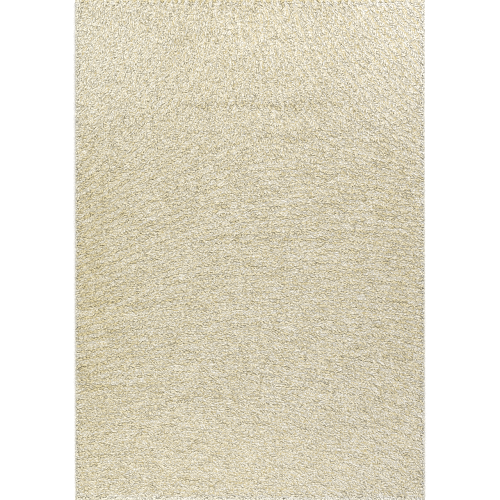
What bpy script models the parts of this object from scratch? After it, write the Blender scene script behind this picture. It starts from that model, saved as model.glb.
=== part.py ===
"""A rectangular shag pile rug lying flat, as one solid: a tufted top, a flat underside and a rim of pile locks.

Metres, +Z up. The origin is on the floor under the middle of the rug, and +Y runs along its length.
Run it with blender --background --python part.py, or from Blender's text editor.
"""

import math
import random

import bmesh
import bpy
from mathutils import Vector

# Driving sizes, measured over the tips of the rim locks.
WIDTH = 1.400
LENGTH = 2.000
REACH = 0.024  # how far the longest rim lock stands out from the packed pile

# The packed pile inside the rim, as a grid of tufts.
TUFTS_ACROSS = 30
TUFTS_ALONG = 44
LOCKS_PER_TUFT = 2  # rim locks to each tuft along an edge

# Heights above the floor.
PILE_LEVEL = 0.0255  # the mean between the tufts' crowns and the gaps between them
CROWN_RISE = (0.0025, 0.0055)  # least and most that a tuft's crown stands above that
GAP_DROP = (0.0020, 0.0058)  # least and most that the pile between tufts lies below it
RIM_LEVEL = 0.0190  # top of the packed pile along its edge
RIM_UNEVENNESS = 0.0025
RIM_ROLL = 0.050  # width of the band in which the pile comes down to the rim
HIGHEST = 0.0330

# How far a tuft's crown and the corners between tufts wander, as a share of the tuft's pitch.
WANDER = 0.13

# Long swells of the pile: height, waves per metre across and along, and phase.
SWELLS = (
    {"height": 0.0010, "across": 1.3, "along": 2.9, "phase": 0.4},
    {"height": 0.0008, "across": -2.1, "along": 5.3, "phase": 2.1},
    {"height": 0.0006, "across": 4.7, "along": -1.9, "phase": 4.0},
)

# Crosswise partings that rolling leaves in the pile. Each runs from x "start" to x "end" at height y on the rug.
PARTING_HALF_WIDTH = 0.026
PARTING_FADE = 0.070  # how soon a parting's ends die away
PARTINGS = (
    {"y": 0.968, "start": -0.18, "end": 0.45, "depth": 0.0040},
    {"y": 0.576, "start": -0.32, "end": 0.38, "depth": 0.0055},
    {"y": 0.444, "start": -0.02, "end": 0.32, "depth": 0.0030},
    {"y": 0.312, "start": 0.08, "end": 0.32, "depth": 0.0025},
    {"y": 0.140, "start": -0.66, "end": -0.50, "depth": 0.0040},
    {"y": 0.092, "start": -0.44, "end": -0.26, "depth": 0.0035},
    {"y": 0.044, "start": -0.26, "end": 0.34, "depth": 0.0035},
    {"y": -0.072, "start": -0.10, "end": 0.10, "depth": 0.0035},
    {"y": -0.216, "start": -0.66, "end": -0.22, "depth": 0.0045},
    {"y": -0.336, "start": -0.66, "end": -0.42, "depth": 0.0040},
    {"y": -0.540, "start": -0.68, "end": -0.40, "depth": 0.0045},
    {"y": -0.700, "start": 0.44, "end": 0.66, "depth": 0.0035},
    {"y": -0.920, "start": -0.66, "end": 0.10, "depth": 0.0030},
)

# A rim lock's sections after its root: how far along its reach, its share of the root's width, and its
# height. Its underside lies on the floor all the way.
LOCK_SECTIONS = (
    {"along": 0.52, "width": 0.74, "height": 0.0130},
    {"along": 1.00, "width": 0.30, "height": 0.0050},
)
LOCK_SWEEP = 0.0050  # how far a lock's tip may swing along the edge
SHORTEST_LOCK = 0.70  # of REACH
FULL_LOCK_EVERY = 5  # every fifth lock has the full reach
FAN_LENGTH = 0.060  # locks this near a corner fan out round it
FAN_TURN = math.radians(38)
CORNER_CUT = 0.010  # how far a corner of the packed pile is drawn in, each way

PILE_COLOUR = (0.72, 0.66, 0.50, 1.0)
PILE_ROUGHNESS = 0.95

PACKED_WIDTH = WIDTH - 2 * REACH
PACKED_LENGTH = LENGTH - 2 * REACH

chance = random.Random(41)


def clear_scene():
    for obj in list(bpy.data.objects):
        bpy.data.objects.remove(obj)


def smooth_step(value):
    value = min(max(value, 0.0), 1.0)
    return value * value * (3.0 - 2.0 * value)


def swell(x, y):
    """Height of the pile's long swells at a place on the rug."""
    return sum(
        wave["height"] * math.sin(math.tau * (wave["across"] * x + wave["along"] * y) + wave["phase"])
        for wave in SWELLS
    )


def parting_depth(x, y):
    """How far the partings sink the pile at a place on the rug."""
    depth = 0.0
    for parting in PARTINGS:
        off = (y - parting["y"]) / PARTING_HALF_WIDTH
        inside = min(x - parting["start"], parting["end"] - x)
        share = smooth_step(0.5 + inside / PARTING_FADE)
        depth += parting["depth"] * share * math.exp(-off * off)
    return depth


def pile_height(x, y, above_level):
    """Height of the packed pile, which rolls over towards the rim."""
    edge = min(PACKED_WIDTH / 2 - abs(x), PACKED_LENGTH / 2 - abs(y))
    inner = PILE_LEVEL + swell(x, y) + above_level - parting_depth(x, y)
    share = smooth_step(edge / RIM_ROLL)
    return min(RIM_LEVEL + (inner - RIM_LEVEL) * share, HIGHEST)


def tuft_grid(bm):
    """The flat grid of tufts, with its edges divided for the rim locks and its corners drawn in."""
    bmesh.ops.create_grid(bm, x_segments=TUFTS_ACROSS, y_segments=TUFTS_ALONG, size=0.5)
    for vert in bm.verts:
        vert.co.x *= PACKED_WIDTH
        vert.co.y *= PACKED_LENGTH
    for edge in [edge for edge in bm.edges if edge.is_boundary]:
        rest = edge
        for left in range(LOCKS_PER_TUFT, 1, -1):
            rest, _ = bmesh.utils.edge_split(rest, rest.verts[0], 1.0 / left)
    for vert in bm.verts:
        if vert.is_boundary and len(vert.link_faces) == 1 and len(vert.link_edges) == 2:
            if abs(vert.co.x) > PACKED_WIDTH * 0.499 and abs(vert.co.y) > PACKED_LENGTH * 0.499:
                vert.co.x -= math.copysign(CORNER_CUT, vert.co.x)
                vert.co.y -= math.copysign(CORNER_CUT, vert.co.y)


def raise_tufts(bm):
    """Gives each tuft a crown, lets crowns and corners wander, and lifts them all to the pile's height."""
    pitch = Vector((PACKED_WIDTH / TUFTS_ACROSS, PACKED_LENGTH / TUFTS_ALONG))
    crowns = set(bmesh.ops.poke(bm, faces=bm.faces[:])["verts"])
    for vert in bm.verts:
        if vert.is_boundary:
            vert.co.z = RIM_LEVEL + chance.uniform(-RIM_UNEVENNESS, RIM_UNEVENNESS)
            continue
        vert.co.x += pitch.x * chance.uniform(-WANDER, WANDER)
        vert.co.y += pitch.y * chance.uniform(-WANDER, WANDER)
        above = chance.uniform(*CROWN_RISE) if vert in crowns else -chance.uniform(*GAP_DROP)
        vert.co.z = pile_height(vert.co.x, vert.co.y, above)


def close_underside(bm):
    """Drops a wall from the rim to the floor and closes it with one flat face. Returns the wall's faces."""
    rim = [edge for edge in bm.edges if edge.is_boundary]
    made = bmesh.ops.extrude_edge_only(bm, edges=rim)["geom"]
    for vert in [item for item in made if isinstance(item, bmesh.types.BMVert)]:
        vert.co.z = 0.0
    walls = [item for item in made if isinstance(item, bmesh.types.BMFace)]
    bmesh.ops.holes_fill(bm, edges=[edge for edge in bm.edges if edge.is_boundary])
    bmesh.ops.recalc_face_normals(bm, faces=bm.faces)
    return walls


def lock_frame(wall):
    """Where a rim lock starts and how it lies: its root's middle, its width, and its two directions."""
    low = [vert.co for vert in wall.verts if vert.co.z < RIM_LEVEL / 2]
    root = (low[0] + low[1]) / 2
    run = low[1] - low[0]
    outward = wall.normal.copy()
    outward.z = 0.0
    outward.normalize()
    along = Vector((-outward.y, outward.x, 0.0))
    on_side = abs(outward.x) > abs(outward.y)
    half = PACKED_LENGTH / 2 if on_side else PACKED_WIDTH / 2
    place = root.dot(along)
    near_corner = 1.0 - min((half - abs(place)) / FAN_LENGTH, 1.0)
    turn = math.copysign(FAN_TURN * near_corner, place)
    lean = outward * math.cos(turn) + along * math.sin(turn)
    return root, run.length, lean, along


def lock_reach(root, lean, share):
    """A lock's length from its root, held inside the rug's overall size."""
    to_side = (WIDTH / 2 - abs(root.x)) / max(abs(lean.x), 1e-6)
    to_end = (LENGTH / 2 - abs(root.y)) / max(abs(lean.y), 1e-6)
    return share * min(to_side, to_end, REACH)


def rim_locks(bm, walls):
    """Draws each wall face out into a tapered lock that lies out on the floor."""
    for number, wall in enumerate(walls):
        root, width, lean, along = lock_frame(wall)
        share = 1.0 if number % FULL_LOCK_EVERY == 0 else chance.uniform(SHORTEST_LOCK, 1.0)
        reach = lock_reach(root, lean, share)
        sweep = 0.0 if number % FULL_LOCK_EVERY == 0 else chance.uniform(-LOCK_SWEEP, LOCK_SWEEP)
        tip = wall
        centre = root.copy()
        for section in LOCK_SECTIONS:
            tip = bmesh.ops.extrude_discrete_faces(bm, faces=[tip])["faces"][0]
            middle_height = sum(vert.co.z for vert in tip.verts) / len(tip.verts)
            places = [(vert, vert.co.z > middle_height, (vert.co - centre).dot(along) > 0) for vert in tip.verts]
            swing = sweep * section["along"] ** 2
            centre = root + lean * reach * section["along"] + along * swing
            for vert, is_top, is_left in places:
                side = 0.5 if is_left else -0.5
                vert.co = centre + along * width * section["width"] * side
                vert.co.z = section["height"] if is_top else 0.0


def pile_material():
    material = bpy.data.materials.new("cream_pile")
    material.use_nodes = True
    shader = material.node_tree.nodes["Principled BSDF"]
    shader.inputs["Base Color"].default_value = PILE_COLOUR
    shader.inputs["Roughness"].default_value = PILE_ROUGHNESS
    shader.inputs["Metallic"].default_value = 0.0
    return material


def shag_rug():
    """The rug's one solid."""
    bm = bmesh.new()
    tuft_grid(bm)
    raise_tufts(bm)
    walls = close_underside(bm)
    rim_locks(bm, walls)
    bmesh.ops.recalc_face_normals(bm, faces=bm.faces)
    mesh = bpy.data.meshes.new("shag_rug")
    bm.to_mesh(mesh)
    bm.free()
    mesh.materials.append(pile_material())
    rug = bpy.data.objects.new("shag_rug", mesh)
    bpy.context.scene.collection.objects.link(rug)
    return rug


clear_scene()
shag_rug()
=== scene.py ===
import math

import bpy
import numpy as np
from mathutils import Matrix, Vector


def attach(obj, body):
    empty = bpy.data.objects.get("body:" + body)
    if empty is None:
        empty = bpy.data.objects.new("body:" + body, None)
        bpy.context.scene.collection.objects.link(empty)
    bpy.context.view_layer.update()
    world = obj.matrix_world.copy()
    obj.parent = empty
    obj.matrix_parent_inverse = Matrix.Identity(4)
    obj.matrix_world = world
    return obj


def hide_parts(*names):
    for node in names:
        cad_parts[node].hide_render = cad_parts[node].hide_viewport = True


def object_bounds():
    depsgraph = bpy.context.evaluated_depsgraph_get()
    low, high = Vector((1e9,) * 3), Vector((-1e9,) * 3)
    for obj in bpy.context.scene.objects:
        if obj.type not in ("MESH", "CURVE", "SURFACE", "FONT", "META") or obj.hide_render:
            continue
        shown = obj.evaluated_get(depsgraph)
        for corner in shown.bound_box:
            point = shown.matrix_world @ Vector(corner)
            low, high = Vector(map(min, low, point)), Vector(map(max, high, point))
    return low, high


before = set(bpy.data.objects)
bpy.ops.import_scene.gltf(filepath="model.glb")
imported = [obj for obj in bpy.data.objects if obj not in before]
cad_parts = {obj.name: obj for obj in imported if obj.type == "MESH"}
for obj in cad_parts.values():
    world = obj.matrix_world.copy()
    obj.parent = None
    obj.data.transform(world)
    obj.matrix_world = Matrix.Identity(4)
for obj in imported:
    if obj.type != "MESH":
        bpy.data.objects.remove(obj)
cad_low, cad_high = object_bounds()

# ---------------------------------------------------------------------------
# The studio. The rug lies face up on a plain pale floor and is seen from straight above, with its
# length up the picture. Wide soft lights at both ends and a pale sky all round keep the shadows faint.
# ---------------------------------------------------------------------------

RUG_WIDTH = cad_high.x - cad_low.x
RUG_LENGTH = cad_high.y - cad_low.y
LENS_MM = 85.0
SENSOR_MM = 36.0
PILE_TOP = 0.005  # the height at which the rug fills the picture from top to bottom
SKY_COLOUR = (1.0, 0.992, 0.982, 1.0)
SKY_STRENGTH = 0.96
LIGHT_COLOUR = (0.985, 0.985, 1.0)
LIGHTS = {  # with how far each is tipped and turned, in degrees
    "top_end_light": {"at": (0.7, 2.5, 2.3), "size": (1.6, 1.2), "watts": 45, "tip": -44, "turn": -15},
    "foot_end_light": {"at": (-0.4, -2.5, 2.0), "size": (1.8, 1.2), "watts": 25, "tip": 50, "turn": -9},
}

bpy.ops.object.select_all(action="DESELECT")
eye_height = PILE_TOP + RUG_LENGTH * LENS_MM / SENSOR_MM
bpy.ops.object.camera_add(location=(0, 0, eye_height), rotation=(0, 0, 0))
camera = bpy.context.object
camera.data.lens = LENS_MM
camera.data.sensor_width = SENSOR_MM
bpy.context.scene.camera = camera
bpy.context.scene.view_settings.view_transform = "Standard"
bpy.context.scene.cycles.filter_width = 1.08
bpy.context.scene.cycles.use_denoising = False

world = bpy.data.worlds.new("pale_sky")
bpy.context.scene.world = world
world.use_nodes = True
world.node_tree.nodes["Background"].inputs["Color"].default_value = SKY_COLOUR
world.node_tree.nodes["Background"].inputs["Strength"].default_value = SKY_STRENGTH

for name, row in LIGHTS.items():
    bpy.ops.object.light_add(type="AREA", location=row["at"])
    light = bpy.context.object
    light.name = name
    light.data.shape = "RECTANGLE"
    light.data.size, light.data.size_y = row["size"]
    light.data.energy = row["watts"]
    light.data.color = LIGHT_COLOUR
    light.rotation_euler = (math.radians(row["tip"]), 0, math.radians(row["turn"]))

bpy.ops.mesh.primitive_plane_add(size=16, location=(0, 0, 0))
floor = bpy.context.object
floor.name = "floor"
floor_paint = bpy.data.materials.new("pale_floor")
floor_paint.use_nodes = True
shader = floor_paint.node_tree.nodes["Principled BSDF"]
shader.inputs["Base Color"].default_value = (0.92, 0.92, 0.92, 1.0)
shader.inputs["Roughness"].default_value = 0.9
floor.data.materials.append(floor_paint)

# ---------------------------------------------------------------------------
# The ground cloth. A woven backing that the yarns are tufted through, with the crowded feet of the pile
# on top of it as one lumpy mat. It lies flat, and the pile's swells and partings start in it.
# ---------------------------------------------------------------------------

GROUND_SHORT_OF_RIM = 0.012  # the cloth ends this far inside the pile's outermost tips
GROUND_CELLS = (92, 132)
MAT_LEVEL = 0.0190  # top of the crowded feet of the pile
MAT_RIM = 0.0155  # its height along the edge of the cloth
RIM_ROLL = 0.010  # width of the band in which it comes down to that
MAT_LUMPS = (
    {"size": (0.060, 0.024), "height": 0.0002, "seed": 100},
    {"size": (0.017, 0.017), "height": 0.0003, "seed": 101},
)
UNDERSIDE = -0.9  # a face whose normal points further down than this is part of the underside

# Long swells of the pile: height, waves per metre across and along, and phase.
SWELLS = (
    {"height": 0.0005, "across": 1.3, "along": 2.9, "phase": 0.4},
    {"height": 0.0004, "across": -2.1, "along": 5.3, "phase": 2.1},
    {"height": 0.0003, "across": 4.7, "along": -1.9, "phase": 4.0},
)

# Crosswise partings that rolling leaves in the pile. Each runs from x "start" to x "end" at height y on
# the rug, and a flatter band lies below it. Painted shade colours a parting darker and painted light
# colours its band lighter.
PARTING_HALF_WIDTH = 0.013
PARTING_FADE = 0.180  # how soon a parting's ends die away
PARTING_WAVE = 0.007  # how far a parting wanders up and down the rug
PARTING_WAVE_LENGTH = 0.31
PARTING_WAVE_SHIFT = 9.0  # how far each parting's wave runs ahead of the last, for a metre between them
PARTING_IN_MAT = 0.4  # share of a parting's depth that shows in the mat
BAND_BELOW = 0.058  # from a parting to the band below it
BAND_HALF_WIDTH = 0.032
PARTINGS = (
    {"y": 0.968, "start": -0.18, "end": 0.45, "depth": 0.0040},
    {"y": 0.576, "start": -0.32, "end": 0.38, "depth": 0.0055},
    {"y": 0.444, "start": -0.02, "end": 0.32, "depth": 0.0030},
    {"y": 0.312, "start": 0.08, "end": 0.32, "depth": 0.0025},
    {"y": 0.140, "start": -0.66, "end": -0.50, "depth": 0.0040},
    {"y": 0.092, "start": -0.44, "end": -0.26, "depth": 0.0035},
    {"y": 0.044, "start": -0.26, "end": 0.34, "depth": 0.0035},
    {"y": -0.072, "start": -0.10, "end": 0.10, "depth": 0.0035},
    {"y": -0.216, "start": -0.66, "end": -0.22, "depth": 0.0045},
    {"y": -0.336, "start": -0.66, "end": -0.42, "depth": 0.0040},
    {"y": -0.540, "start": -0.68, "end": -0.40, "depth": 0.0045},
    {"y": -0.700, "start": 0.44, "end": 0.66, "depth": 0.0035},
    {"y": -0.920, "start": -0.66, "end": 0.10, "depth": 0.0030},
)


def smooth_step(value):
    value = np.clip(value, 0.0, 1.0)
    return value * value * (3.0 - 2.0 * value)


def swell(x, y):
    """Height of the pile's long swells."""
    return sum(
        wave["height"] * np.sin(math.tau * (wave["across"] * x + wave["along"] * y) + wave["phase"])
        for wave in SWELLS
    )


def parting(x, y, lowered=0.0, half_width=PARTING_HALF_WIDTH):
    """Depth of the partings, or of the bands that lie this much lower on the rug."""
    depth = np.zeros_like(x)
    for row in PARTINGS:
        wave = PARTING_WAVE * np.sin(math.tau * x / PARTING_WAVE_LENGTH + PARTING_WAVE_SHIFT * row["y"])
        off = (y + lowered + wave - row["y"]) / half_width
        inside = np.minimum(x - row["start"], row["end"] - x)
        depth += row["depth"] * smooth_step(0.5 + inside / PARTING_FADE) * np.exp(-off * off)
    return depth


def rim_distance(x, y):
    """How far a place is inside the rug's outline."""
    return np.minimum(RUG_WIDTH / 2 - np.abs(x), RUG_LENGTH / 2 - np.abs(y))


def lumps(x, y, size, seed):
    """Smooth unevenness from -1 to 1, with lumps of about this size across and along the rug."""
    chance = np.random.default_rng(seed)
    spare = 4  # lines of the grid beyond those that the rug itself needs
    across = int(RUG_WIDTH / size[0]) + spare
    along = int(RUG_LENGTH / size[1]) + spare
    grid = chance.uniform(-1.0, 1.0, (across, along))
    u = np.clip((x + RUG_WIDTH / 2) / size[0] + 1.0, 0, across - 1.001)
    v = np.clip((y + RUG_LENGTH / 2) / size[1] + 1.0, 0, along - 1.001)
    i, j = u.astype(int), v.astype(int)
    s, t = smooth_step(u - i), smooth_step(v - j)
    near = grid[i, j] * (1 - s) + grid[i + 1, j] * s
    far = grid[i, j + 1] * (1 - s) + grid[i + 1, j + 1] * s
    return near * (1 - t) + far * t


def feet_height(x, y):
    """Top of the crowded feet of the pile, as it would be without the rim."""
    height = MAT_LEVEL + swell(x, y) - PARTING_IN_MAT * parting(x, y)
    for row in MAT_LUMPS:
        height += row["height"] * lumps(x, y, row["size"], row["seed"])
    return height


def mat_height(x, y):
    """Top of the crowded feet of the pile, rolled down at the rim."""
    share = smooth_step((rim_distance(x, y) - GROUND_SHORT_OF_RIM) / RIM_ROLL)
    return MAT_RIM + (feet_height(x, y) - MAT_RIM) * share


ground_width = RUG_WIDTH - 2 * GROUND_SHORT_OF_RIM
ground_length = RUG_LENGTH - 2 * GROUND_SHORT_OF_RIM
bpy.ops.object.select_all(action="DESELECT")
bpy.ops.mesh.primitive_grid_add(
    x_subdivisions=GROUND_CELLS[0], y_subdivisions=GROUND_CELLS[1], size=1, location=(0, 0, 0)
)
ground = bpy.context.object
ground.name = "ground_cloth"
ground.scale = (ground_width, ground_length, 1)
bpy.ops.object.transform_apply(location=False, rotation=False, scale=True)
bpy.ops.object.mode_set(mode="EDIT")
bpy.ops.mesh.select_all(action="SELECT")
bpy.ops.mesh.extrude_region_move(TRANSFORM_OT_translate={"value": (0, 0, MAT_LEVEL)})
bpy.ops.mesh.select_all(action="SELECT")
bpy.ops.mesh.normals_make_consistent(inside=False)
bpy.ops.mesh.select_all(action="DESELECT")
bpy.ops.object.mode_set(mode="OBJECT")
places = np.empty(len(ground.data.vertices) * 3)
ground.data.vertices.foreach_get("co", places)
places = places.reshape(-1, 3)
on_top = places[:, 2] > MAT_LEVEL / 2
places[on_top, 2] = mat_height(places[on_top, 0], places[on_top, 1])
ground.data.vertices.foreach_set("co", places.ravel())
for face in ground.data.polygons:
    face.select = face.normal.z < UNDERSIDE
bpy.ops.object.mode_set(mode="EDIT")
bpy.ops.mesh.select_mode(type="FACE")
bpy.ops.mesh.dissolve_faces()
bpy.ops.object.mode_set(mode="OBJECT")
bpy.ops.object.shade_smooth_by_angle(angle=math.radians(50))


def math_node(tree, operation, *values):
    """A Math node whose inputs are sockets or plain numbers."""
    node = tree.nodes.new("ShaderNodeMath")
    node.operation = operation
    for socket, value in zip(node.inputs, values):
        if isinstance(value, bpy.types.NodeSocket):
            tree.links.new(value, socket)
        else:
            socket.default_value = value
    return node.outputs[0]


def colour_ramp(tree, factor, stops):
    """A Color Ramp over a factor, from (place, colour) stops."""
    node = tree.nodes.new("ShaderNodeValToRGB")
    elements = node.color_ramp.elements
    elements.remove(elements[1])
    for number, (place, colour) in enumerate(stops):
        element = elements[0] if number == 0 else elements.new(place)
        element.position = place
        element.color = (*colour, 1.0)
    tree.links.new(factor, node.inputs["Fac"])
    return node.outputs["Color"]


def raise_bumps(tree, shader, height, strength, distance):
    """Raises a surface in the light by a height that its pattern gives."""
    bump = tree.nodes.new("ShaderNodeBump")
    bump.inputs["Strength"].default_value = strength
    bump.inputs["Distance"].default_value = distance
    tree.links.new(height, bump.inputs["Height"])
    tree.links.new(bump.outputs["Normal"], shader.inputs["Normal"])


# Flecks of dyed fibre, used by the mat and by the backing.
flecks = bpy.data.node_groups.new("fibre_flecks", "ShaderNodeTree")
for label in ("Scale", "Depth"):
    flecks.interface.new_socket(label, in_out="INPUT", socket_type="NodeSocketFloat")
flecks.interface.new_socket("Shade", in_out="OUTPUT", socket_type="NodeSocketFloat")
flecks_in = flecks.nodes.new("NodeGroupInput")
flecks_out = flecks.nodes.new("NodeGroupOutput")
here = flecks.nodes.new("ShaderNodeTexCoord")
fine = flecks.nodes.new("ShaderNodeTexNoise")
fine.inputs["Detail"].default_value = 2.0
flecks.links.new(here.outputs["Object"], fine.inputs["Vector"])
flecks.links.new(flecks_in.outputs["Scale"], fine.inputs["Scale"])
off_mean = math_node(flecks, "SUBTRACT", fine.outputs["Fac"], 0.5)
swing = math_node(flecks, "MULTIPLY", off_mean, flecks_in.outputs["Depth"])
flecks.links.new(math_node(flecks, "ADD", swing, 1.0), flecks_out.inputs["Shade"])


def flecked(tree, colour, scale, depth):
    """A colour with the flecks of dyed fibre in it."""
    speck = tree.nodes.new("ShaderNodeGroup")
    speck.node_tree = flecks
    speck.inputs["Scale"].default_value = scale
    speck.inputs["Depth"].default_value = depth
    tint = tree.nodes.new("ShaderNodeVectorMath")
    tint.operation = "SCALE"
    tree.links.new(colour, tint.inputs[0])
    tree.links.new(speck.outputs["Shade"], tint.inputs["Scale"])
    return tint.outputs[0]


# Painted shade: the mat is coloured dark olive down in the gaps between its feet.
MAT_GAP_SHADE = (0.50, 0.42, 0.21)
MAT_YARN = (0.85, 0.815, 0.70)
MAT_FOOT = 0.0052  # width of one foot of yarn
MAT_DRIFT = 0.006  # how far the feet are pushed out of their rows
BACKING_COLOUR = (0.62, 0.55, 0.42)
# Painted shade in the gaps between the backing's threads.
BACKING_GAP_SHADE = (0.30, 0.25, 0.17)
BACKING_THREAD = 0.0030

packed_mat = bpy.data.materials.new("packed_pile_feet")
packed_mat.use_nodes = True
tree = packed_mat.node_tree
shader = tree.nodes["Principled BSDF"]
shader.inputs["Roughness"].default_value = 0.9
shader.inputs["Sheen Weight"].default_value = 0.4
place = tree.nodes.new("ShaderNodeTexCoord")
drift = tree.nodes.new("ShaderNodeTexNoise")
drift.inputs["Scale"].default_value = 130.0
tree.links.new(place.outputs["Object"], drift.inputs["Vector"])
drifted = tree.nodes.new("ShaderNodeVectorMath")
drifted.operation = "MULTIPLY_ADD"
drifted.inputs[1].default_value = (MAT_DRIFT, MAT_DRIFT, 0.0)
tree.links.new(drift.outputs["Color"], drifted.inputs[0])
tree.links.new(place.outputs["Object"], drifted.inputs[2])
feet = tree.nodes.new("ShaderNodeTexVoronoi")
feet.inputs["Scale"].default_value = 1.0 / MAT_FOOT
tree.links.new(drifted.outputs[0], feet.inputs["Vector"])
foot_height = math_node(tree, "SUBTRACT", 1.0, feet.outputs["Distance"])
# Painted shade: the colour darkens from the feet's tops down into the gaps between them.
feet_with_gap_shade = colour_ramp(tree, foot_height, ((0.35, MAT_GAP_SHADE), (0.80, MAT_YARN)))
tree.links.new(flecked(tree, feet_with_gap_shade, scale=900.0, depth=0.5), shader.inputs["Base Color"])
raise_bumps(tree, shader, foot_height, strength=0.9, distance=0.0030)
ground.data.materials.append(packed_mat)

woven_backing = bpy.data.materials.new("woven_backing")
woven_backing.use_nodes = True
tree = woven_backing.node_tree
shader = tree.nodes["Principled BSDF"]
shader.inputs["Roughness"].default_value = 0.85
place = tree.nodes.new("ShaderNodeTexCoord")
over_under = tree.nodes.new("ShaderNodeTexChecker")
over_under.inputs["Scale"].default_value = 1.0 / BACKING_THREAD
tree.links.new(place.outputs["Object"], over_under.inputs["Vector"])
split = tree.nodes.new("ShaderNodeSeparateXYZ")
tree.links.new(place.outputs["Object"], split.inputs[0])
ribs = []
for side in ("X", "Y"):
    turn = math_node(tree, "MULTIPLY", split.outputs[side], math.pi / BACKING_THREAD)
    ribs.append(math_node(tree, "ABSOLUTE", math_node(tree, "SINE", turn)))
weft = math_node(tree, "MULTIPLY", ribs[0], over_under.outputs["Fac"])
under = math_node(tree, "SUBTRACT", 1.0, over_under.outputs["Fac"])
warp = math_node(tree, "MULTIPLY", ribs[1], under)
thread = math_node(tree, "ADD", weft, warp)
# Painted shade: the threads are coloured darker where they dip into the gaps between them.
woven = colour_ramp(tree, thread, ((0.0, BACKING_GAP_SHADE), (0.6, BACKING_COLOUR)))
tree.links.new(flecked(tree, woven, scale=600.0, depth=0.7), shader.inputs["Base Color"])
raise_bumps(tree, shader, thread, strength=0.7, distance=0.0010)
ground.data.materials.append(woven_backing)
for face in ground.data.polygons:
    face.material_index = 1 if face.normal.z < UNDERSIDE else 0

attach(ground, "root")
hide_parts("shag_rug")

# ---------------------------------------------------------------------------
# The pile. Cut ends of thick soft plied yarn, tufted through the ground cloth so close that they push
# each other over. Each one stands up out of the mat and falls over at a knee, in clumps and short
# ripples, and the outermost ones hang down over the edge of the cloth as a skirt.
# ---------------------------------------------------------------------------

YARN_COUNT = 55500
TUFTS_SHORT_OF_RIM = 0.005  # the outermost tufts stand this far inside the outline
YARN_THICKNESS = 0.0039  # from the yarn's middle to its outside
THICKNESS_SPREAD = (0.85, 1.12)
YARN_RINGS = (
    {"along": 0.16, "share": 1.00},
    {"along": 0.58, "share": 1.00},
    {"along": 1.00, "share": 0.54},
)
YARN_LENGTH = (0.0190, 0.0270)
ROOT_DEPTH = 0.0050  # how far the yarn starts below the mat's top
LOWEST_ROOT = 0.003
FIRST_TILT = (5.0, 40.0)  # degrees from upright of the part that stands up
RIM_TILT = 35.0  # degrees that it leans further at the rim
RIM_TILT_WIDTH = 0.030
BEND = 33.0  # degrees that each further part may swing round
STEEPEST = (-0.75, 0.95)  # the most that a further part falls and climbs, as a share of its length
TWIST = 25.0  # degrees that the yarn's section turns from ring to ring
BANDS = 5
PLACES_SEED = 7

# Heights of the lying parts.
PILE_STAND = 0.0014  # how far a lying part's middle is above the mat
SHOULDER_SPREAD = 0.0010
TIP_SPREAD = (-0.0018, 0.0009)
PARTING_BRIDGED = 0.22  # share of a parting's depth that the yarns lying over it fill again
BAND_SINK = 0.12  # how much lower the band below a parting lies, as a share of the parting's depth
RIM_SHARE = 0.93  # height of the pile at the rim, as a share of its height further in
RIM_DROP_WIDTH = 0.016

CLUMP_SIZE = (0.038, 0.030)  # across and along the rug
CLUMP_SEED = 11
CLUMP_WANDER = 0.40  # how far a clump's middle wanders, as a share of its size
CLUMP_EDGE = 0.45  # width of the dip round a clump, as a share of its size
CLUMP_LIFT = 0.0002
CLUMP_LIFT_LIMITS = (-1.6, 1.4)
CLUMP_DIP = 0.0012  # how much lower the yarns between two clumps lie
# Painted light and shade over the clumps: their middles are coloured a little darker, the dips between
# them a little lighter.
CLUMP_PAINTED_LIGHT_AND_SHADE = -0.05
CLUMP_MEAN = 0.6  # the mean over the rug of how far inside its clump a yarn is

# The tufting rows show as short ripples along the pile's lean, patch by patch.
RIPPLE_PITCH = (0.022, 0.032)
RIPPLE_HEIGHT = 0.0036
# Painted light and shade: yarns are coloured darker where a ripple stands high and lighter in its
# troughs.
RIPPLE_PAINTED_LIGHT_AND_SHADE = -0.32
RIPPLE_PATCH = (0.085, 0.055)
RIPPLE_SEED = 21

# Where the pile leans, as the azimuth of its tips. Brushing and rolling left it so.
LEANS = (
    {"x": -0.50, "y": 0.80, "azimuth": 235, "pull": 0.9},
    {"x": 0.00, "y": 0.80, "azimuth": 270, "pull": 0.7},
    {"x": 0.50, "y": 0.80, "azimuth": 315, "pull": 0.9},
    {"x": -0.50, "y": 0.00, "azimuth": 208, "pull": 0.9},
    {"x": 0.00, "y": 0.00, "azimuth": 185, "pull": 0.9},
    {"x": 0.50, "y": 0.00, "azimuth": 356, "pull": 0.9},
    {"x": -0.50, "y": -0.80, "azimuth": 184, "pull": 1.1},
    {"x": 0.00, "y": -0.80, "azimuth": 350, "pull": 1.1},
    {"x": 0.50, "y": -0.80, "azimuth": 335, "pull": 1.1},
)
LEAN_REACH = 0.35

# What turns a yarn: the lean there, its clump's own way, its place in the clump, chance, and the rim.
LEAN_PULL = 1.8
CLUMP_PULL = 0.12
SPLAY_PULL = -0.20
CHANCE_PULL = 0.52
RIM_PULL = {"pile": 1.0, "skirt": 3.0}
RIM_PULL_WIDTH = 0.020

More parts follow.
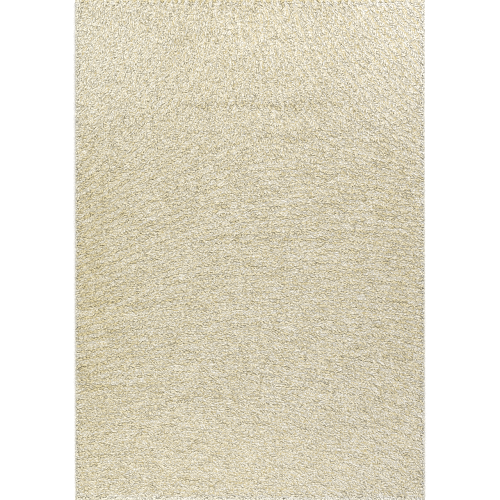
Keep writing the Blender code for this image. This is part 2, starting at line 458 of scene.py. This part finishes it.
# Where the pile as a whole is coloured darker or lighter, as painted light and shade in its tone, and
# lies lower.
MIDDLE_TONE = 0.5
TONE_SPREAD = 0.07
LIGHT_SHADE_AND_SINK_AREAS = (
    {"x": -0.68, "y": -0.15, "across": 0.18, "along": 0.50, "painted_light_and_shade": -0.17, "sink": 0.0},
    {"x": 0.62, "y": -0.30, "across": 0.10, "along": 0.60, "painted_light_and_shade": -0.08, "sink": 0.0},
    {"x": 0.45, "y": 0.15, "across": 0.30, "along": 0.45, "painted_light_and_shade": -0.06, "sink": 0.0},
    {"x": -0.648, "y": 0.42, "across": 0.020, "along": 0.14, "painted_light_and_shade": -0.08, "sink": 0.0},
    {"x": -0.62, "y": 0.80, "across": 0.25, "along": 0.28, "painted_light_and_shade": 0.32, "sink": 0.0008},
    {"x": 0.66, "y": 0.90, "across": 0.28, "along": 0.34, "painted_light_and_shade": 0.28, "sink": 0.0016},
    {"x": 0.06, "y": 0.84, "across": 0.34, "along": 0.30, "painted_light_and_shade": 0.12, "sink": 0.0013},
    {"x": 0.02, "y": -0.88, "across": 0.60, "along": 0.24, "painted_light_and_shade": 0.10, "sink": 0.0015},
)
# Painted light and shade along the rim: its yarns are coloured lighter at the sides and the foot end
# and darker at the top end.
RIM_PAINTED_LIGHT_AND_SHADE = {"left": 0.6, "right": 0.5, "top": -0.5, "foot": 0.5}
RIM_TONE_WIDTH = 0.020
PARTING_PAINTED_SHADE = 25.0  # painted shade: how much darker a parting is coloured, for each metre of its depth
BAND_PAINTED_LIGHT = 10.0  # painted light: and how much lighter the band below it is coloured

# How yellow the yarn looks, from 0 to 1, and what each metre or full share of these adds to it.
# The ripple share makes the yarns that the ripples' painted shade darkens more yellow, like shade in
# cream yarn.
WARMTH = {"middle": 0.48, "rim": 0.35, "right": -0.52, "ends": -0.16, "ripple": 0.26, "chance": 0.08}

# The outermost yarns hang out over the edge of the ground cloth and lie down to the floor.
SKIRT_COUNT = 5300
SKIRT_INSIDE = (0.0045, 0.0120)  # how far inside the outline their bends lie
SKIRT_LEVEL = (0.0036, 0.0200)
SKIRT_ROOT = 0.0045
SKIRT_THICKER = 1.12

# No yarn's middle passes these lines, so that its outside ends at the rug's outline.
OUTLINE_GAP = (0.0024, -0.0010)  # inside the outline at the sides, and past it at the ends
OUTLINE_SPREAD = 0.0015
SIDES_LEAN_IN = (0.15, 0.0)  # how much further in that is, for each metre of height

# Each yarn has its own cell of the colour map. Its row gives the tone, painted light and shade
# included, and its column the yellowness.
TONE_ROWS = 64
YELLOWNESS_COLUMNS = 8
CELL_MARGIN = 0.06
CAP_INSET = 0.04  # how far a yarn's flat end reaches down its cell
PLIES = 2.0
PLY_TURNS = 9.0  # how often a groove between the plies crosses the yarn from root to tip

bpy.ops.object.select_all(action="DESELECT")
first_ring = YARN_RINGS[0]["along"]
bpy.ops.mesh.primitive_cone_add(
    vertices=3,
    radius1=0,
    radius2=1,
    depth=first_ring,
    end_fill_type="NGON",
    location=(0, 0, first_ring / 2),
)
yarn_end = bpy.context.object
yarn_end.name = "yarn_end"
bpy.ops.object.transform_apply(location=True, rotation=True, scale=True)
bpy.ops.object.mode_set(mode="EDIT")
bpy.ops.mesh.select_mode(type="FACE")
bpy.ops.mesh.select_all(action="DESELECT")
bpy.ops.object.mode_set(mode="OBJECT")
for face in yarn_end.data.polygons:
    face.select = face.normal.z > 0.9
bpy.ops.object.mode_set(mode="EDIT")
for ring, after in zip(YARN_RINGS, YARN_RINGS[1:]):
    rise = after["along"] - ring["along"]
    bpy.ops.mesh.extrude_region_move(TRANSFORM_OT_translate={"value": (0, 0, rise)})
    narrowing = after["share"] / ring["share"]
    bpy.ops.transform.resize(value=(narrowing, narrowing, 1), center_override=(0, 0, after["along"]))
bpy.ops.mesh.select_all(action="SELECT")
bpy.ops.mesh.normals_make_consistent(inside=False)
bpy.ops.object.mode_set(mode="OBJECT")


def template_of(thing):
    """The yarn's mesh as arrays, with how far up it and how far round it each face corner lies."""
    mesh = thing.data
    points = np.array([vert.co[:] for vert in mesh.vertices])
    corners = np.array([loop.vertex_index for loop in mesh.loops])
    counts = np.array([face.loop_total for face in mesh.polygons])
    along = points[corners, 2]
    around = (np.degrees(np.arctan2(points[corners, 1], points[corners, 0])) % 360) / 360
    start = 0
    for count in counts:
        ring = slice(start, start + count)
        if np.ptp(along[ring]) < 1e-4:  # a flat end, given a thin strip of the cell
            around[ring] = np.linspace(0.1, 0.9, count)
            along[start + 1] += CAP_INSET if along[start] < 0.5 else -CAP_INSET
        elif np.ptp(around[ring]) > 0.5:  # a side that crosses the seam
            around[ring] = np.where(around[ring] < 0.5, around[ring] + 1, around[ring])
        start += count
    around = around - np.floor(around.min() + 1e-6)
    low, high = around.min(), around.max()
    around = (around - low) / (high - low)
    return points, corners, counts, along, around


def leaning(tilt, azimuth):
    """Unit vectors this far from upright, in radians, towards an azimuth."""
    out = np.sin(tilt)
    return np.stack([out * np.cos(azimuth), out * np.sin(azimuth), np.cos(tilt)], 1)


def unit(vectors):
    return vectors / np.maximum(np.linalg.norm(vectors, axis=1, keepdims=True), 1e-9)


def pile_lean(x, y):
    """The brushed lean of the pile as a vector, whose length says how strong it is.

    The doubled angles are averaged, so two opposite leans count as the same grain.
    """
    total = np.zeros((len(x), 2))
    weights = np.zeros(len(x))
    for row in LEANS:
        weight = np.exp(-((x - row["x"]) ** 2 + (y - row["y"]) ** 2) / (2 * LEAN_REACH**2)) + 1e-6
        doubled = math.radians(2 * row["azimuth"])
        total += weight[:, None] * row["pull"] * np.array([math.cos(doubled), math.sin(doubled)])
        weights += weight
    total /= weights[:, None]
    azimuth = math.pi + (np.arctan2(total[:, 1], total[:, 0]) % math.tau) / 2
    strength = np.hypot(total[:, 0], total[:, 1])
    return strength[:, None] * np.stack([np.cos(azimuth), np.sin(azimuth)], 1)


def nearest_clump(x, y, size, seed):
    """Each place's clump: its number, its middle, how far inside it is, and the count of clumps."""
    chance = np.random.default_rng(seed)
    spare = 2.5  # cells of clumps past the outline on each side
    across = int(RUG_WIDTH / size[0] + 2 * spare) + 1
    along = int(RUG_LENGTH / size[1] + 2 * spare) + 1
    wander = chance.uniform(-CLUMP_WANDER, CLUMP_WANDER, (across, along, 2))
    u, v = (x + RUG_WIDTH / 2) / size[0] + spare, (y + RUG_LENGTH / 2) / size[1] + spare
    best = np.full(len(x), 1e9)
    second = np.full(len(x), 1e9)
    number = np.zeros(len(x), int)
    middle = np.zeros((len(x), 2))
    for step_across in (-1, 0, 1):
        for step_along in (-1, 0, 1):
            i = np.clip(u.astype(int) + step_across, 0, across - 1)
            j = np.clip(v.astype(int) + step_along, 0, along - 1)
            mid_u, mid_v = i + 0.5 + wander[i, j, 0], j + 0.5 + wander[i, j, 1]
            away = np.hypot(u - mid_u, v - mid_v)
            nearer = away < best
            second = np.where(nearer, best, np.minimum(second, away))
            best[nearer] = away[nearer]
            number[nearer] = (i * along + j)[nearer]
            middle[nearer, 0] = ((mid_u - spare) * size[0] - RUG_WIDTH / 2)[nearer]
            middle[nearer, 1] = ((mid_v - spare) * size[1] - RUG_LENGTH / 2)[nearer]
    return number, middle, second - best, across * along


def ripples(x, y):
    """Short ripples that run along the pile's lean, patch by patch, from -1 to 1."""
    number, middle, _, patches = nearest_clump(x, y, RIPPLE_PATCH, RIPPLE_SEED)
    chance = np.random.default_rng(RIPPLE_SEED)
    shift = chance.uniform(0, math.tau, patches)[number]
    pitch = chance.uniform(*RIPPLE_PITCH, patches)[number]
    lean = unit(pile_lean(middle[:, 0], middle[:, 1]))
    across = (y - middle[:, 1]) * lean[:, 0] - (x - middle[:, 0]) * lean[:, 1]
    return np.cos(math.tau * across / pitch + shift)


def area_share(area, x, y):
    """How fully a place lies in an area of painted light and shade, from 1 in its middle to 0 far away.
    """
    return np.exp(-(((x - area["x"]) / area["across"]) ** 2 + ((y - area["y"]) / area["along"]) ** 2))


def tufted(name, line, thickness, roll, tone, column):
    """One mesh of many yarn ends. Line holds their roots, then the middles of their rings in order."""
    points, corners, counts, along, around = template_of(yarn_end)
    yarns = len(roll)
    steps = [unit(after - before) for before, after in zip(line, line[1:])]
    headings = [steps[0]] + [unit(one + two) for one, two in zip(steps, steps[1:])] + [steps[-1]]
    levels = [0.0] + [ring["along"] for ring in YARN_RINGS]
    placed = np.empty((yarns, len(points), 3))
    for number, (at, middle, forward) in enumerate(zip(levels, line, headings)):
        ring = np.abs(points[:, 2] - at) < 1e-3
        side = unit(np.cross(np.array([0.0, 0.0, 1.0]), forward) + np.array([1e-6, 0, 0]))
        up = np.cross(forward, side)
        turn = roll + math.radians(TWIST) * number
        spun = side * np.cos(turn)[:, None] + up * np.sin(turn)[:, None]
        over = np.cross(forward, spun)
        flat = points[ring][:, :2]
        wide = thickness[:, None, None]
        placed[:, ring] = middle[:, None] + wide * (
            spun[:, None] * flat[None, :, :1] + over[:, None] * flat[None, :, 1:]
        )
    mesh = bpy.data.meshes.new(name)
    mesh.vertices.add(yarns * len(points))
    mesh.vertices.foreach_set("co", placed.ravel())
    mesh.loops.add(yarns * len(corners))
    step = np.arange(yarns)[:, None]
    mesh.loops.foreach_set("vertex_index", (corners + step * len(points)).ravel())
    mesh.polygons.add(yarns * len(counts))
    starts = np.concatenate([[0], np.cumsum(counts)[:-1]])
    mesh.polygons.foreach_set("loop_start", (starts + step * len(corners)).ravel())
    mesh.update(calc_edges=True)
    mesh.validate()
    room = 1 - 2 * CELL_MARGIN
    u = (column[:, None] + CELL_MARGIN + room * along) / YELLOWNESS_COLUMNS
    v = (tone[:, None] + CELL_MARGIN + room * around) / TONE_ROWS
    colour_cells = mesh.uv_layers.new(name="OFBake")
    colour_cells.uv.foreach_set("vector", np.stack([u, v], 2).astype(np.float32).ravel())
    mesh.shade_smooth()
    thing = bpy.data.objects.new(name, mesh)
    bpy.context.scene.collection.objects.link(thing)
    return thing


# Where the tufts stand, in rows that wander.
chance = np.random.default_rng(PLACES_SEED)
tufted_width = RUG_WIDTH - 2 * TUFTS_SHORT_OF_RIM
tufted_length = RUG_LENGTH - 2 * TUFTS_SHORT_OF_RIM
yarn_pitch = math.sqrt(tufted_width * tufted_length / YARN_COUNT)
rows_across = int(tufted_width / yarn_pitch)
rows_along = int(tufted_length / yarn_pitch)
grid_x, grid_y = np.meshgrid(
    (np.arange(rows_across) + 0.5) / rows_across - 0.5,
    (np.arange(rows_along) + 0.5) / rows_along - 0.5,
    indexing="ij",
)
count = grid_x.size
x = grid_x.ravel() * tufted_width + chance.uniform(-0.5, 0.5, count) * yarn_pitch
y = grid_y.ravel() * tufted_length + chance.uniform(-0.5, 0.5, count) * yarn_pitch

# The skirt's places run once round the rug, at a small distance inside its outline.
half_width, half_length = RUG_WIDTH / 2, RUG_LENGTH / 2
round_rim = chance.uniform(0, 2 * (RUG_WIDTH + RUG_LENGTH), SKIRT_COUNT)
from_rim = chance.uniform(*SKIRT_INSIDE, SKIRT_COUNT)
on_side = round_rim < 2 * RUG_LENGTH
which_side = np.where(chance.random(SKIRT_COUNT) < 0.5, -1.0, 1.0)
along_end = (round_rim / 2 % RUG_WIDTH) - half_width
along_side = (round_rim % RUG_LENGTH) - half_length
rim_x = np.where(on_side, which_side * (half_width - from_rim), along_end)
rim_y = np.where(on_side, along_side, which_side * (half_length - from_rim))
x = np.concatenate([x, rim_x])
y = np.concatenate([y, rim_y])
skirt = np.arange(len(x)) >= count
count = len(x)
edge = rim_distance(x, y)

# Which way each yarn falls.
number, middle, inside_clump, clumps = nearest_clump(x, y, CLUMP_SIZE, CLUMP_SEED)
clump_share = smooth_step(inside_clump / CLUMP_EDGE)
clump_azimuth = chance.uniform(0, math.tau, clumps)[number]
clump_lift = chance.normal(0, 1, clumps)[number]
own_azimuth = chance.uniform(0, math.tau, count)
splay = (np.stack([x, y], 1) - middle) / np.array(CLUMP_SIZE)
direction = (
    LEAN_PULL * pile_lean(x, y)
    + CLUMP_PULL * np.stack([np.cos(clump_azimuth), np.sin(clump_azimuth)], 1)
    + SPLAY_PULL * splay
    + CHANCE_PULL * np.stack([np.cos(own_azimuth), np.sin(own_azimuth)], 1)
)
outward = np.stack(
    [
        np.sign(x) * smooth_step(1 - (half_width - np.abs(x)) / RIM_PULL_WIDTH),
        np.sign(y) * smooth_step(1 - (half_length - np.abs(y)) / RIM_PULL_WIDTH),
    ],
    1,
)
direction += np.where(skirt, RIM_PULL["skirt"], RIM_PULL["pile"])[:, None] * outward
azimuth = np.arctan2(direction[:, 1], direction[:, 0])

# How high its lying part is.
length = chance.uniform(*YARN_LENGTH, count)
shares = np.diff([0.0] + [ring["along"] for ring in YARN_RINGS])
root_z = np.maximum(mat_height(x, y) - ROOT_DEPTH, LOWEST_ROOT)
root_z = np.where(skirt, SKIRT_ROOT, root_z)
ripple = ripples(x, y)
level = feet_height(x, y) + PILE_STAND + PARTING_BRIDGED * parting(x, y)
level -= BAND_SINK * parting(x, y, BAND_BELOW, BAND_HALF_WIDTH)
level += RIPPLE_HEIGHT * ripple
for area in LIGHT_SHADE_AND_SINK_AREAS:
    level -= area["sink"] * area_share(area, x, y)
level += CLUMP_LIFT * np.clip(clump_lift, *CLUMP_LIFT_LIMITS) - CLUMP_DIP * (1 - clump_share)
level *= RIM_SHARE + (1 - RIM_SHARE) * smooth_step(edge / RIM_DROP_WIDTH)
level = np.where(skirt, chance.uniform(*SKIRT_LEVEL, count), level)

# Each yarn's line: its root, the top of the part that stands up, its shoulder and its tip.
rim_tilt = RIM_TILT * (1 - smooth_step(edge / RIM_TILT_WIDTH))
tilt = np.radians(chance.uniform(*FIRST_TILT, count) + rim_tilt)
line = [np.stack([x, y, root_z], 1)]
line.append(line[0] + leaning(tilt, azimuth) * (length * shares[0])[:, None])
heights = (
    level + SHOULDER_SPREAD * chance.uniform(-1, 1, count),
    level + chance.uniform(*TIP_SPREAD, count),
)
heading = azimuth
for share, height in zip(shares[1:], heights):
    heading = heading + np.radians(chance.uniform(-BEND, BEND, count))
    rise = np.clip((height - line[-1][:, 2]) / (length * share), *STEEPEST)
    line.append(line[-1] + leaning(np.arccos(rise), heading) * (length * share)[:, None])

# The place given to each yarn is where its bend lies, so that the lying parts cover the rug evenly.
shift = line[0][:, :2] - line[2][:, :2]
for middles in line:
    middles[:, :2] += shift

# Yarns that would reach past the outline are drawn back.
limit = np.array([half_width, half_length]) - np.array(OUTLINE_GAP)
limit = limit - OUTLINE_SPREAD * chance.random((count, 1)) ** 2
for middles in line:
    over = np.abs(middles[:, :2]) - (limit - np.array(SIDES_LEAN_IN) * middles[:, 2:])
    middles[:, :2] -= np.sign(middles[:, :2]) * np.where(over > 0, over, 0)

# Its colour: a tone from dark to light, which is dye that differs at random plus painted light and
# shade, and a yellowness.
# Painted light and shade follow the ripples.
tone = MIDDLE_TONE + TONE_SPREAD * chance.normal(0, 1, count) + RIPPLE_PAINTED_LIGHT_AND_SHADE * ripple
# Painted light and shade over the clumps.
tone += CLUMP_PAINTED_LIGHT_AND_SHADE * (clump_share - CLUMP_MEAN)
inside_of = {
    "left": half_width + x,
    "right": half_width - x,
    "foot": half_length + y,
    "top": half_length - y,
}
# Painted light and shade along each side of the rim.
for side, inside in inside_of.items():
    tone += RIM_PAINTED_LIGHT_AND_SHADE[side] * (1 - smooth_step(inside / RIM_TONE_WIDTH))
# Painted shade in the partings and painted light in the bands below them.
tone += BAND_PAINTED_LIGHT * parting(x, y, BAND_BELOW, BAND_HALF_WIDTH) - PARTING_PAINTED_SHADE * parting(x, y)
# Painted light and shade over wide areas of the pile.
for area in LIGHT_SHADE_AND_SINK_AREAS:
    tone += area["painted_light_and_shade"] * area_share(area, x, y)
tone_row = np.clip(np.round(tone * TONE_ROWS), 0, TONE_ROWS - 1)
warmth = (
    WARMTH["rim"] * (1 - smooth_step(edge / RIM_TONE_WIDTH))
    + WARMTH["middle"]
    + WARMTH["right"] * x
    + WARMTH["ends"] * np.abs(y) ** 2
    + WARMTH["ripple"] * ripple
    + WARMTH["chance"] * chance.normal(0, 1, count)
)
column = np.clip(np.floor(warmth * YELLOWNESS_COLUMNS), 0, YELLOWNESS_COLUMNS - 1)

# The lowest yarns rest on the floor, each on its own thickness.
thickness = YARN_THICKNESS * chance.uniform(*THICKNESS_SPREAD, count)
thickness *= np.where(skirt, SKIRT_THICKER, 1.0)
for middles in line:
    middles[:, 2] = np.maximum(middles[:, 2], thickness)
roll = chance.uniform(0, math.tau, count)

yarn = bpy.data.materials.new("cream_pile_yarn")
yarn.use_nodes = True
tree = yarn.node_tree
shader = tree.nodes["Principled BSDF"]
shader.inputs["Roughness"].default_value = 0.85
shader.inputs["Sheen Weight"].default_value = 0.55
shader.inputs["Sheen Roughness"].default_value = 0.5
shader.inputs["Sheen Tint"].default_value = (0.96, 0.90, 0.70, 1.0)
shader.inputs["Specular IOR Level"].default_value = 0.3
colour_map = tree.nodes.new("ShaderNodeUVMap")
colour_map.uv_map = "OFBake"
split = tree.nodes.new("ShaderNodeSeparateXYZ")
tree.links.new(colour_map.outputs["UV"], split.inputs[0])
in_column = math_node(tree, "MULTIPLY", split.outputs["X"], float(YELLOWNESS_COLUMNS))
in_row = math_node(tree, "MULTIPLY", split.outputs["Y"], float(TONE_ROWS))
up_yarn = math_node(tree, "FRACT", in_column)
round_yarn = math_node(tree, "FRACT", in_row)
tone_value = math_node(tree, "DIVIDE", math_node(tree, "FLOOR", in_row), float(TONE_ROWS - 1))
# The colour of each tone, turning olive in the dark tones that painted shade gives.
toned_with_painted_light = colour_ramp(
    tree,
    tone_value,
    (
        (0.0, (0.72, 0.64, 0.40)),
        (0.35, (0.848, 0.814, 0.712)),
        (0.65, (0.890, 0.880, 0.833)),
        (1.0, (0.906, 0.900, 0.864)),
    ),
)
yellow_value = math_node(tree, "DIVIDE", math_node(tree, "FLOOR", in_column), float(YELLOWNESS_COLUMNS - 1))
yellowed = colour_ramp(tree, yellow_value, ((0.0, (0.97, 0.972, 1.0)), (1.0, (1.0, 0.993, 0.935))))
turned = math_node(tree, "MULTIPLY", up_yarn, PLY_TURNS)
twisted = math_node(tree, "ADD", turned, math_node(tree, "MULTIPLY", round_yarn, PLIES))
ply = math_node(tree, "FRACT", twisted)
ply_height = math_node(tree, "SINE", math_node(tree, "MULTIPLY", ply, math.pi))
ply_shade = colour_ramp(
    tree,
    ply_height,
    (
        (0.0, (0.86, 0.80, 0.61)),
        (0.45, (0.985, 0.98, 0.965)),
        (1.0, (1.0, 1.0, 1.0)),
    ),
)
depth_shade = colour_ramp(
    tree,
    up_yarn,
    (
        (0.0, (0.56, 0.48, 0.22)),
        (0.14, (0.90, 0.866, 0.73)),
        (0.26, (1.0, 1.0, 1.0)),
        (0.62, (1.0, 1.0, 1.0)),
        (1.0, (0.90, 0.870, 0.740)),
    ),
)
shaded = toned_with_painted_light
for part in (yellowed, ply_shade, depth_shade):
    product = tree.nodes.new("ShaderNodeVectorMath")
    product.operation = "MULTIPLY"
    tree.links.new(shaded, product.inputs[0])
    tree.links.new(part, product.inputs[1])
    shaded = product.outputs[0]
tree.links.new(shaded, shader.inputs["Base Color"])
raise_bumps(tree, shader, ply_height, strength=0.6, distance=0.0006)

# The yarns are joined in bands of equal number, from the foot end to the top end.
band = np.minimum((np.argsort(np.argsort(y, kind="stable")) * BANDS) // count, BANDS - 1)
for which in range(BANDS):
    mine = band == which
    thing = tufted(
        f"pile_band_{which + 1}",
        [middles[mine] for middles in line],
        thickness[mine],
        roll[mine],
        tone_row[mine],
        column[mine],
    )
    thing.data.materials.append(yarn)
    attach(thing, "root")
    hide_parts("shag_rug")
bpy.data.objects.remove(yarn_end)
